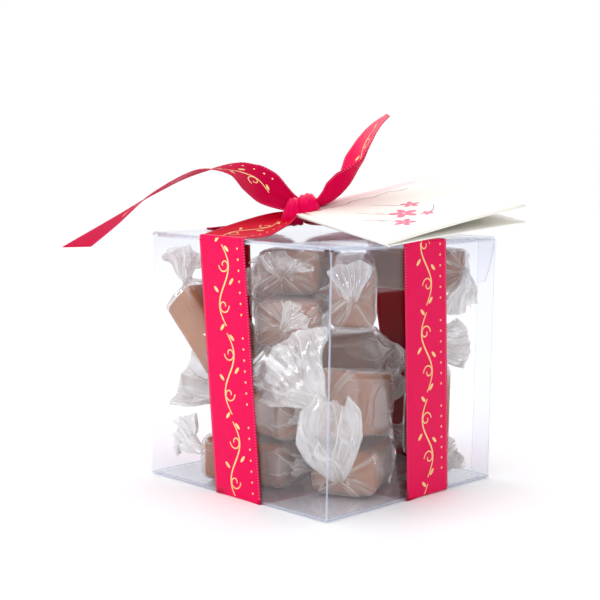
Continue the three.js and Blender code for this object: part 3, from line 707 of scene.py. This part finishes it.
def ribbon_pieces():
    """The two bands round the box and the two free tails."""
    front, back = (-Y, 2.6, -5.6, -0.12, -1), (Y, 8.5, -7.2, 0.05, 1)
    left, right = (-X, -1.5, -5.4, 0.0, -1), (X, 6.0, 1.8, 0.05, 1)
    bands = {}
    for name, side, start, end, level in (
        ("ribbon_front_back", X, front, back, 0.14), ("ribbon_left_right", Y, left, right, 0.31),
    ):
        middles, sides, widths, curls, thick, pleats = zip(*round_trip(side, start, end, level))
        band = Band(middles, sides, widths, curls, thick, pleats=pleats, flip=side is Y)
        band.points[..., 2] = np.maximum(band.points[..., 2], level)
        bands[name] = band
        band_piece(name, band, STRAND_STEPS)
    for name, (look, steps, stops) in TAILS.items():
        stops = [(diagonal(*middle), diagonal(*way), *rest) for middle, way, *rest in stops]
        middles = through([s[0] for s in stops], steps)
        sides, widths, curls, thick, skews = columns_eased(stops, steps)
        pleats = 0.5 * np.clip(0.22 - np.linspace(0, 1, steps + 1), 0, 1) / 0.22
        bands[name] = Band(middles, sides, widths, curls, thick, skews=skews, pleats=pleats, flip=True)
        band_piece(name, bands[name], front=look)
    return bands


def lumps(name, centre, axis, radii, half_length, pleats, seed):
    """A short pleated roll of gathered ribbon about an axis."""
    axis = unit(axis)
    near = unit(diagonal(0, 1, 0))
    third = unit(np.cross(axis, near))
    rows, columns = 29, 56
    points = []
    for s in np.linspace(-1.25, 1.25, rows):
        full = math.sqrt(max(0.0, 1 - (abs(s) / 1.27) ** 3.2))
        for angle in around(columns):
            fold = 0.05 * math.sin(pleats * math.pi * s + 1.3 * math.sin(angle + seed)) * (0.4 + 0.6 * full)
            swell = (0.35 + 0.65 * full) * (1 + fold) * (1 + 0.05 * math.sin(2 * angle + seed))
            slide = s * half_length * (1 + 0.12 * math.cos(angle - 0.8))
            points.append(centre + axis * slide + near * radii[0] * swell * math.cos(angle)
                          + third * radii[1] * swell * math.sin(angle))
    faces = grid_faces(rows, columns, closed=True)
    faces += [tuple(range(columns))[::-1], tuple(range((rows - 1) * columns, rows * columns))]
    uv = [(3.6 * (k // columns) / rows, 8 * math.pi * (k % columns) / columns) for k in range(len(points))]
    piece(name, points, faces, [SATIN_FRONT], "ribbon", uv=uv)


def knot_pieces():
    """The knot: the roll that the right tail leaves, the core, and the strap drawn over it."""
    lumps("ribbon_knot_loop", diagonal(-5.6, 0.2, 85.3), diagonal(0.93, 0, 0.3), (4.5, 3.5), 2.5, 2.5, 0.4)
    lumps("ribbon_knot_core", diagonal(-8.6, 0.2, 82.6), diagonal(0.9, 0, -0.1), (4.0, 2.6), 3.4, 2.0, 2.0)
    stops = [
        ((-8.6, -4.2, 83.0), 4.5, 60),
        ((-9.3, -2.6, 86.2), 4.0, 70),
        ((-9.9, 0.6, 87.3), 3.6, 80),
        ((-10.2, 3.6, 85.8), 4.0, 80),
        ((-10.4, 4.9, 83.2), 5.2, 60),
        ((-10.5, 5.0, 80.9), 6.6, 45),
        ((-10.4, 3.4, 79.4), 7.0, 30),
        ((-9.9, 0.4, 78.9), 6.5, 20),
    ]
    steps = 60
    middles = through([diagonal(*s[0]) for s in stops], steps)
    widths, curls = columns_eased(stops, steps)
    sides = np.repeat([diagonal(1, 0, 0.05)], steps + 1, axis=0)
    strap = Band(middles, sides, widths, curls, 0.35, columns=17, pleats=0.14)
    band_piece("ribbon_knot_strap", strap)


# ---- Card ----

CARD_KNOT_CORNER = np.array([-7.4, -8.9, 82.9])
CARD_FOLD = unit([49.9, -10.7, -6.3])
CARD_UP = unit(np.cross(CARD_FOLD, [10.6, 49.0, 10.3]))
CARD_RISE = np.cross(CARD_UP, CARD_FOLD)


def card_bow(x, y):
    """How far the upper leaf bows up from flat."""
    return 0.35 * np.sin(np.pi * np.clip(y / CARD_SIDE, 0, 1)) + 0.15 * np.sin(np.pi * x / CARD_SIDE)


def on_card(x, y, lift=0.03):
    """Points x mm along the fold and y mm up the card, just over its printed face."""
    high = CARD_THICK / 2 + card_bow(x, y) + lift
    return CARD_KNOT_CORNER + x[..., None] * CARD_FOLD + y[..., None] * CARD_RISE + high[..., None] * CARD_UP


def card_pieces():
    """The lower leaf, the round fold and the bowed upper leaf as one sheet, and its print."""
    fold_radius, fold_gap = 0.45, 0.55
    turn = math.radians(CARD_OPENING)
    reach = np.linspace(1.0, CARD_SIDE, 13)
    rows = [(d * math.cos(turn), -d * math.sin(turn) - fold_radius) for d in reach[::-1]]
    rows += [(fold_gap + fold_radius * math.cos(a), fold_radius * (math.sin(a) - 0.5))
             for a in np.radians(np.linspace(-100, -260, 9))]
    first_upper = len(rows)
    rows += [(d, 0.0) for d in reach]
    across_card = np.linspace(0, CARD_SIDE, 15)
    points = np.empty((len(rows), len(across_card), 3))
    for r, (y, z) in enumerate(rows):
        for c, x in enumerate(across_card):
            bow = card_bow(x, y) if r >= first_upper else 0.6 * card_bow(x, y) - 0.1
            high = z + bow * min(1, max(0, y / 3))
            points[r, c] = CARD_KNOT_CORNER + x * CARD_FOLD + y * CARD_RISE + high * CARD_UP
    normals = unit(np.cross(np.gradient(points, axis=1), np.gradient(points, axis=0)))
    skin, faces, slots = thick_sheet(points, normals, CARD_THICK)
    looks = [CARD_WHITE, CARD_INNER, CARD_WHITE]
    piece("card_leaves", skin, faces, looks, "card", face_slots=slots)
    card_print()


def stroke(line, width, where):
    """A line drawn on a surface: its points and faces."""
    line = np.asarray(line, float)
    way = unit(np.gradient(line, axis=0))
    side = np.stack([-way[:, 1], way[:, 0]], 1) * np.broadcast_to(width, len(line))[:, None] / 2
    flat = np.stack([line + side, line - side], 1).reshape(-1, 2)
    faces = [(2 * k, 2 * k + 1, 2 * k + 3, 2 * k + 2) for k in range(len(line) - 1)]
    return where(flat[:, 0], flat[:, 1]), faces


def blob(x, y, where):
    """A filled shape drawn on a surface from its outline, as a fan about its middle."""
    flat = np.stack([np.append(x.mean(), x), np.append(y.mean(), y)], 1)
    faces = [(0, 1 + k, 1 + (k + 1) % len(x)) for k in range(len(x))]
    return where(flat[:, 0], flat[:, 1]), faces


def gathered(shapes):
    """Several meshes as one: its points and faces."""
    points, faces = [], []
    for some, more in shapes:
        faces += [tuple(i + len(points) for i in face) for face in more]
        points += list(some)
    return points, faces


def card_print():
    """Blossoms on thin stems, pale petals, and a soft band with a wavy line by the edge."""
    pink, grey, pale = [], [], []
    t = around(14)
    for cx, cy, size, turn in ((31, 21, 5.0, 0.3), (38.5, 15.5, 3.8, 0.9), (24.5, 28.5, 3.4, 0.1),
                               (36, 26, 2.4, 0.5)):
        long, wide = size * (0.42 * np.cos(t) + 0.5), size * 0.24 * np.sin(t)
        for a in turn + around(5):
            cos, sin = math.cos(a), math.sin(a)
            pink.append(blob(cx + long * cos - wide * sin, cy + long * sin + wide * cos, on_card))
    t = np.linspace(0, 1, 24)
    for x0, y0, x1, y1, bend in ((31, 21, 19, 12, 2.2), (38.5, 15.5, 27, 8, -1.6), (24.5, 28.5, 15, 20, 1.8),
                                 (36, 26, 30, 33, 1.2)):
        line = np.stack([x0 + (x1 - x0) * t + bend * np.sin(math.pi * t), y0 + (y1 - y0) * t], 1)
        grey.append(stroke(line[4:], 0.32 * (1.2 - 0.6 * t[4:]), on_card))
    u = around(13)
    for x0, y0 in ((25, 16.5), (21, 24), (33, 11.5)):
        pale.append(blob(x0 + 1.7 * np.cos(u), y0 + 0.7 * np.sin(u) + 0.5 * np.cos(u), on_card))
    v = np.linspace(3, 48, 60)
    pale.append(stroke(np.stack([2.6 + 0.5 * np.sin(v / 4.0), v], 1), 3.6, on_card))
    wavy = np.stack([7.6 + 0.7 * np.sin(v / 1.9) + 0.3 * np.sin(v / 0.8), v], 1)
    grey.append(stroke(wavy[4:-10], 0.28, lambda x, y: on_card(x, y, 0.04)))
    for name, shapes, look in (("card_print_pink", pink, INK_PINK), ("card_print_grey", grey, INK_GREY),
                               ("card_print_pale", pale, INK_PALE)):
        points, faces = gathered(shapes)
        piece(name, points, faces, [look], "card", smooth=False)


# ---- Gold print on the ribbon ----


def ribbon_print(bands):
    """A vine of curls, leaves and dots in gold, repeated along each stretch of ribbon."""
    pitch = 26.0
    tall = 0.92 * pitch
    shapes = []

    def motif(band, start):
        def where(x, y):
            return band.at(x, start + y, 0.02)

        t = np.linspace(0, 1, 40)
        vine = np.stack([2.4 * np.sin(2 * math.pi * t), tall * t], 1)
        shapes.append(stroke(vine, 0.34 + 0.2 * np.sin(math.pi * t), where))
        for mid, hand in ((0.25, -1), (0.75, 1)):
            turn = np.linspace(0, 2.1 * math.pi, 30)
            size = 2.3 * (1 - turn / (2.9 * math.pi))
            curl = np.stack([hand * (-0.6 + size * np.cos(turn)), tall * mid + size * np.sin(turn)], 1)
            shapes.append(stroke(curl, 0.36, where))
        u = around(12)
        long, wide = 0.875 * np.cos(u), 0.35 * np.sin(u)
        for y, x, lean in ((0.05, 1.9, 1), (0.42, 3.2, -1), (0.5, -3.4, 1), (0.93, -1.8, -1)):
            shapes.append(blob(x + long * lean - wide, pitch * y + long + wide * lean, where))
        u = around(8)
        for k in range(7):
            shapes.append(blob(6.6 + 0.34 * np.cos(u), 3.2 * k + 1.5 + 0.34 * np.sin(u), where))

    for name, band in bands.items():
        clear = 10 if "tail" in name else 9
        for k in range(int((band.run[-1] - clear) // pitch)):
            motif(band, clear + k * pitch)
    points, faces = gathered(shapes)
    piece("ribbon_print", points, faces, [GOLD], "ribbon", smooth=False)


# ---- Caramels ----

# One loose end of film is pressed up the near corner of the box: the middles, widths and curls along it.
CORNER_FAN = [
    ((31.8, -29, 13.5), 14, -60),
    ((33.4, -31.6, 20), 22, -95),
    ((33.6, -31.8, 28), 20, -100),
    ((33.8, -31.8, 33.2), 11, -60),
]
# Where each caramel lies, its yaw, pitch and roll in degrees, and its wrapper's two loose ends: the way each
# points, the way across it, its length and its width, as in the CAD model.
CARAMELS = [
    # On the floor behind the front wall.
    ((-6.6, -22.6, 8.4), 17, 0, 0,
     ((-0.66, -0.3, 0.55), (0.15, -0.45, 1), 12, 23),
     ((0.05, -0.95, 0.25), (0.3, 0.1, 1), 8, 9)),
    # On the floor, pointing at the near corner.
    ((18.7, -5.3, 8.2), 118, 0, 0,
     (CORNER_FAN, (0.62, 0.78, 0), 24, 22),
     ((0.4, 0.85, 0.35), (1, -0.4, 0), 8, 8)),
    # Second layer, above the first.
    ((-3.1, -16.3, 22.9), -10, 0, 0,
     ((-0.58, -0.68, 0.4), (0.25, 0.3, 0.9), 22, 22),
     ((-0.15, -0.9, 0.3), (0.9, 0, 0.4), 8, 8)),
    # Second layer, on edge beside the right wall.
    ((24.5, -12.6, 28.7), 104, 8, 90,
     ((-0.73, -0.1, 0.68), (0.64, 0.1, 0.76), 22, 34),
     ((0.5, 0.35, 0.8), (0.6, 0.5, -0.6), 11, 11)),
    # Leaning by the left corner.
    ((-21, -25.7, 47.2), 5, 47, 0,
     ((0.3, -0.3, 0.9), (0.7, 0.7, 0), 11, 15),
     ((0.7, 0.7, 0.2), (0.3, -0.3, 1), 6, 8)),
    # Third layer, pointing at the front wall.
    ((2.6, -15.8, 51.3), -54, 0, 0,
     ((-0.5, 0.5, 0.4), (0.7, 0.7, 0), 6, 10),
     ((0.7, 0.1, 0.7), (0.7, 0.1, -0.7), 8, 9)),
    # Top layer, on edge, pointing at the right wall.
    ((18.5, -7.1, 61), 132, -2, 90,
     ((-0.05, -0.2, 0.97), (0.7, 0.7, 0.1), 11, 13),
     ((0.3, 0.5, -0.6), (0.8, 0.3, 0.4), 7, 9)),
    # Top layer, pointing at the front wall.
    ((-5.3, -5.5, 65.6), 118, 0, 0,
     ((0.36, -0.52, 0.7), (0.95, 0.3, 0.05), 9, 20),
     ((-0.4, 0.5, 0.45), (0.7, 0.6, 0.1), 6, 10)),
    # Back half, floor.
    ((-14.8, 12, 8.4), 4, 0, 0,
     ((-0.2, -0.8, 0.5), (0.1, 0.5, 1), 9, 12),
     ((-0.3, 0.5, 0.8), (0.5, 1, 0), 6, 8)),
    # Back half, floor, on edge against the back wall.
    ((-16.3, 29.9, 11.2), 0, 0, 90,
     ((0.25, -0.3, 0.9), (0.3, 1, 0), 8, 10),
     ((0.8, -0.1, -0.1), (0, 0.2, 1), 8, 11)),
    # Back half, second layer.
    ((-14.8, 8.5, 22.7), 8, 0, 0,
     ((0.1, 0.7, 0.6), (0.1, -0.6, 1), 9, 12),
     ((-0.6, 0, 0.9), (0, 1, 0), 5, 8)),
    # Standing on end in the right back corner.
    ((23.4, 22.8, 22.2), 44, 90, 0,
     ((0.8, 0.3, 0.25), (-0.2, 0.4, 1), 14, 17),
     ((0.72, 0.3, 0.6), (-0.5, 0.3, 0.8), 13, 14)),
    # Back half, on edge against the back wall, above the other.
    ((-16.6, 29.9, 31.5), 0, 0, 90,
     ((0.35, -0.3, 0.9), (0.3, 1, 0), 7, 9),
     ((0.3, 0.15, 0.8), (0.3, 1, 0), 5, 8)),
    # Top layer, along the back wall to the right.
    ((15.3, 26.2, 65.6), 0, 0, 0,
     ((0, -0.8, 0.2), (1, 0, 0.3), 6, 10),
     ((-0.18, 0.05, -0.95), (0.1, 1, 0), 13, 16)),
    # On edge against the left wall, above the back ones.
    ((-29.4, 16, 55.5), 90, 0, 90,
     ((0.2, -0.4, 0.8), (1, 0.2, 0), 8, 11),
     ((0.5, -0.2, 0.8), (1, 0, 0.2), 7, 10)),
    # In the middle, across the box.
    ((-2.9, 8.8, 38.1), 44, -6, 0,
     ((-0.3, -0.5, 0.7), (0.7, -0.7, 0), 7, 10),
     ((-0.2, 0.3, -0.9), (0.7, 0.7, 0), 10, 11)),
]
FAN_SPREAD = 8.0
CREASE_ANGLE = 24


def rounded_block(length, width, height, radius, steps):
    """Points and faces of a block with rounded edges, about its own middle."""
    half = np.array([length, width, height]) / 2
    points, faces = [], []
    grid = np.linspace(-1, 1, steps + 1)
    grid = np.sign(grid) * np.abs(grid) ** 0.75
    for axis in range(3):
        for sign in (-1, 1):
            start = len(points)
            for a in grid:
                for b in grid:
                    p = np.roll([sign, a, b], axis)
                    core = np.clip(p * half, -(half - radius), half - radius)
                    points.append(core + radius * unit(p * half - core * 0.999 + p * 1e-3))
            faces += grid_faces(steps + 1, steps + 1, start, flip=sign < 0)
    return np.array(points), faces


def turned(yaw, pitch, roll):
    """The turn about Z, then Y, then X, in degrees."""
    turn = Matrix.Identity(3)
    for angle, axis in ((yaw, "Z"), (pitch, "Y"), (roll, "X")):
        turn = turn @ Matrix.Rotation(math.radians(angle), 3, axis)
    return np.array(turn)


def super_ring(x, a, b, power, pleat, count, phase):
    """A ring across the wrapped caramel, squarish over the block and round at the twist."""
    angle = 2 * np.pi * (np.arange(count) + 0.5) / count
    cos, sin = np.cos(angle), np.sin(angle)
    swell = 1 + pleat * np.sin(angle * 11 + phase) + 0.5 * pleat * np.sin(angle * 23 - 2 * phase)
    return np.stack([np.full(count, x), a * np.sign(cos) * np.abs(cos) ** power * swell,
                     b * np.sign(sin) * np.abs(sin) ** power * swell], 1)


def film_body(index):
    """The film drawn tight over the block and gathered into the twist at each end. A station gives how far
    past the block's end it is, its half width and half height, how round it is and its pleats' depth."""
    half, count = CANDY_LENGTH / 2, 88
    stations = [
        (NECK_REACH, 1.5, 1.4, 1.0, 0.16), (4.6, 1.9, 1.7, 1.0, 0.2), (3.4, 3.1, 2.6, 0.95, 0.2),
        (2.2, 5.2, 3.7, 0.8, 0.15), (1.3, 7.4, 5.0, 0.6, 0.09), (0.6, 8.9, 6.1, 0.5, 0.05),
        (0.0, 9.7, 6.75, 0.45, 0.02), (-1.2, 10.0, 7.0, 0.43, 0.006), (-3, 10.0, 7.0, 0.42, 0.003),
        (-7, 10.0, 7.0, 0.42, 0.002), (-11, 10.0, 7.0, 0.42, 0.002),
    ]
    rings = [super_ring(end * (half + past), *shape, count, index + end)
             for end, part in ((-1, stations), (1, stations[::-1])) for past, *shape in part]
    points = np.concatenate(rings)
    crumple = wave(points, 0.35, index) * 0.16 + wave(points, 1.1, index + 40) * 0.07
    points = points + unit(points * [0.15, 1, 1] + 1e-6) * (crumple - 0.12)[:, None]
    uv = np.stack([np.tile(np.arange(count) * 0.6, len(rings)), points[:, 0]], 1)
    return points, grid_faces(len(rings), count, closed=True), uv


def zigzag(x):
    """A wave of straight folds from -1 to 1, one for each 2 of x, with its creases a little eased."""
    saw = 2 * np.abs((x % 2) - 1) - 1
    return np.sin(saw * math.pi / 2) * 0.35 + saw * 0.65


def film_fan(end, axis, tail, seed):
    """A loose end of the wrapper: a flattened tube that leaves the twist and opens in ruffles."""
    toward, across, length, width = tail
    neck = end + axis * NECK_REACH
    stops = [(neck - axis, 2.6, 2.4, 0, 0), (neck, 2.8, 2.2, 0, 0)]
    if toward is CORNER_FAN:
        stops += [(np.array(spot, float), wide, 1.1, curl, 0) for spot, wide, curl in toward]
    else:
        toward = unit(toward)
        sweep = width**2 / (FAN_SPREAD * length)
        stops += [(neck + axis * 0.12 * length + toward * 0.3 * length, 0.5 * width, 1.5, 0, 0),
                  (neck + toward * 0.7 * length, 0.85 * width, 1.2, 0, 0.5 * sweep),
                  (neck + toward * length, width, 1.0, 0, sweep)]
    steps, count = 30, 104
    places, widths, thicks, curls, sweeps = zip(*stops)
    middles = through(places, steps)
    widths, sweeps = eased(widths, steps, 0.3), eased(sweeps, steps, 0.3)
    thicks, curls = eased(thicks, steps), np.radians(eased(curls, steps))
    curls = np.where(np.abs(curls) < 1e-3, 1e-3, curls)
    way = unit(np.gradient(middles, axis=0))
    side = unit(np.array(across, float) - way * (way @ np.array(across, float))[:, None])
    up = unit(np.cross(way, side))
    draw = np.random.default_rng(seed)
    number, lean = draw.uniform(1.6, 3.2), draw.uniform(0, 2)
    fine, shift = draw.uniform(4.5, 7.5), draw.uniform(0, 2)
    tip = draw.uniform(0, 6)
    angle = around(count)
    u, v = np.cos(angle), np.sin(angle)
    other = np.where(v > 0, 0.0, 0.7)
    crisp = 1.15 * zigzag(u * number + lean + other) + 0.35 * zigzag(u * fine + shift + 1.4 * other)
    edge = 0.05 * np.sin(3 * u + tip) + 0.03 * np.sin(7 * u + 2 * tip)
    rings = []
    for k in range(steps + 1):
        t = k / steps
        turn = u * curls[k] / 2
        out = widths[k] / curls[k] * np.sin(turn)
        rise = (widths[k] / curls[k] * (np.cos(turn) - 1) + v * thicks[k] / 2 + crisp * t * min(1, 2.5 * t)
                + 0.3 * zigzag(u * 6 + shift) * (1 - t) + 0.6 * t * np.sin(math.pi * 1.2 * u + 2 * t))
        rings.append(middles[k] + side[k] * out[:, None] + up[k] * rise[:, None]
                     + way[k] * (edge * length * t - sweeps[k] * u**2)[:, None])
    points = np.concatenate(rings)
    crumple = np.stack([1.1 * wave(points, 0.16, seed + j) + 0.22 * wave(points, 0.5, seed + 5 + j)
                        for j in range(3)], 1)
    points = points + crumple * np.repeat(np.linspace(0, 1, steps + 1), count)[:, None]
    uv = np.stack([np.tile(np.linspace(0, 26, count), steps + 1) + 7.3 * (seed % 11),
                   np.repeat(np.linspace(0, length, steps + 1), count)], 1)
    return points, grid_faces(steps + 1, count, closed=True), uv


def kept_inside(points):
    """Film points eased back from the walls, the floor, the lid and the tuck flap."""
    wall, floor, lid, flap = HALF - SHEET - 0.35, BOX_BOTTOM + SHEET + 0.15, BOX_TOP - 3.4, HALF - 2.0

    def under(value, limit):
        over = np.maximum(0, value - limit + 0.5)
        return value - over + 0.5 * np.tanh(over * 0.6)

    x, y, z = points.T
    x = under(x, np.where(z > BOX_TOP - TUCK_DEPTH - 1, flap, wall))
    return np.stack([-under(-x, wall), -under(-under(y, wall), wall), -under(-under(z, lid), -floor)], 1)


def caramel_pieces():
    """Each caramel: its block, and its film with a loose fan at each end."""
    block, block_faces = rounded_block(CANDY_LENGTH - 0.9, CANDY_WIDTH - 1.3, CANDY_HEIGHT - 1.1, 2.0, 16)
    for number, (middle, yaw, pitch, roll, *tails) in enumerate(CARAMELS, 1):
        node = f"caramel_{number:02d}"
        turn = turned(yaw, pitch, roll)
        sag = wave(block, 0.09, number)[:, None] * 0.35 + wave(block, 0.3, number + 20)[:, None] * 0.12
        points = block * (1 + sag * 0.045) @ turn.T + middle
        thing = piece(f"{node}_block", points, block_faces, [CARAMEL], node)
        thing.modifiers.new("weld", "WELD").merge_threshold = 0.02 * MM
        tight, faces, uv = film_body(number)
        parts = [(tight @ turn.T + middle, faces, uv)]
        for k, tail in enumerate(tails):
            way = turn @ X * (1 if k else -1)
            parts.append(film_fan(middle + way * CANDY_LENGTH / 2, way, tail, 100 * number + k))
        slots = [0] * len(faces) + [1] * sum(len(part[1]) for part in parts[1:])
        points, faces = gathered([part[:2] for part in parts])
        uv = np.concatenate([part[2] for part in parts])
        film = piece(f"{node}_film", kept_inside(np.array(points)), faces, [FILM_TIGHT, FILM_LOOSE], node,
                     face_slots=slots, uv=uv)
        film.data.set_sharp_from_angle(angle=math.radians(CREASE_ANGLE))


# ---- Build ----

box_pieces()
bands = ribbon_pieces()
knot_pieces()
ribbon_print(bands)
card_pieces()
caramel_pieces()

# ---- Table, light and camera ----


def table():
    """A plain white table top."""
    mesh = bpy.data.meshes.new("table")
    reach = 3.0
    corners = [(x * reach, y * reach, 0) for x, y in ((-1, -1), (1, -1), (1, 1), (-1, 1))]
    mesh.from_pydata(corners, [], [(0, 1, 2, 3)])
    mesh.materials.append(flecked("table_white", 3, 2, rgb(250, 250, 252), rgb(246, 247, 250), 0.55))
    top = bpy.data.objects.new("table", mesh)
    scene.collection.objects.link(top)


def softbox(name, place, aim_height, size, power):
    """A rectangular light aimed at a point above the middle of the table."""
    data = bpy.data.lights.new(name, "AREA")
    data.shape = "RECTANGLE"
    data.size, data.size_y = size
    data.energy = power
    light = bpy.data.objects.new(name, data)
    light.location = place
    light.rotation_euler = (Vector((0, 0, aim_height)) - Vector(place)).to_track_quat("-Z", "Y").to_euler()
    scene.collection.objects.link(light)


def studio():
    """A white cove. The camera sees it plain, and the object is lit and mirrors it brighter on the left."""
    s = Shader("studio", "worlds", "Background")
    level = s.scaled(s.add("SeparateXYZ", 0, {0: s.add("TexCoord", "Generated")}), -0.22, 0.86)
    seen = s.add("LightPath", "Is Camera Ray")
    s.set(Color=(1, 1, 1, 1), Strength=s.add("Mix", 0, {0: seen, 2: level, 3: 1.0}))
    scene.world = s.owner
    softbox("key", (-0.35, -0.9, 0.7), 0.04, (0.7, 0.5), 2.0)
    softbox("strip_left", (-0.55, -0.55, 0.3), 0.04, (0.03, 0.5), 0.8)
    softbox("strip_right", (0.62, -0.3, 0.4), 0.04, (0.025, 0.5), 0.5)
    softbox("strip_back", (-0.1, 0.7, 0.5), 0.05, (0.6, 0.03), 0.7)
    sky = bpy.data.lights.new("overhead", "SUN")
    sky.energy, sky.angle = 0.7, math.radians(50)
    scene.collection.objects.link(bpy.data.objects.new("overhead", sky))


def place_camera():
    """A long lens that looks slightly down at the near corner, a little rolled, aimed left of the middle."""
    azimuth, elevation, roll = (math.radians(a) for a in (44.13, 6.69, 0.92))
    distance, focal_share, aim_height, aim_left = 409.7, 1316.2 / 600, HALF + 17.67, 7.46
    toward = Vector((math.sin(azimuth), -math.cos(azimuth), 0))
    back = toward * math.cos(elevation) + Vector(Z) * math.sin(elevation)
    level = Vector((math.cos(azimuth), math.sin(azimuth), 0))
    upright = back.cross(level)
    right = level * math.cos(roll) + upright * math.sin(roll)
    up = upright * math.cos(roll) - level * math.sin(roll)
    data = bpy.data.cameras.new("camera")
    data.sensor_width = 36
    data.lens = focal_share * data.sensor_width
    data.clip_start = 0.01
    camera = bpy.data.objects.new("camera", data)
    camera.matrix_world = Matrix((right, up, back)).transposed().to_4x4()
    camera.location = (Vector((0, 0, aim_height)) - aim_left * level + distance * back) * MM
    scene.collection.objects.link(camera)
    scene.camera = camera


table()
studio()
place_camera()
scene.view_settings.view_transform = "Standard"
scene.cycles.transparent_max_bounces = 64
scene.cycles.max_bounces = 12
scene.cycles.use_denoising = True
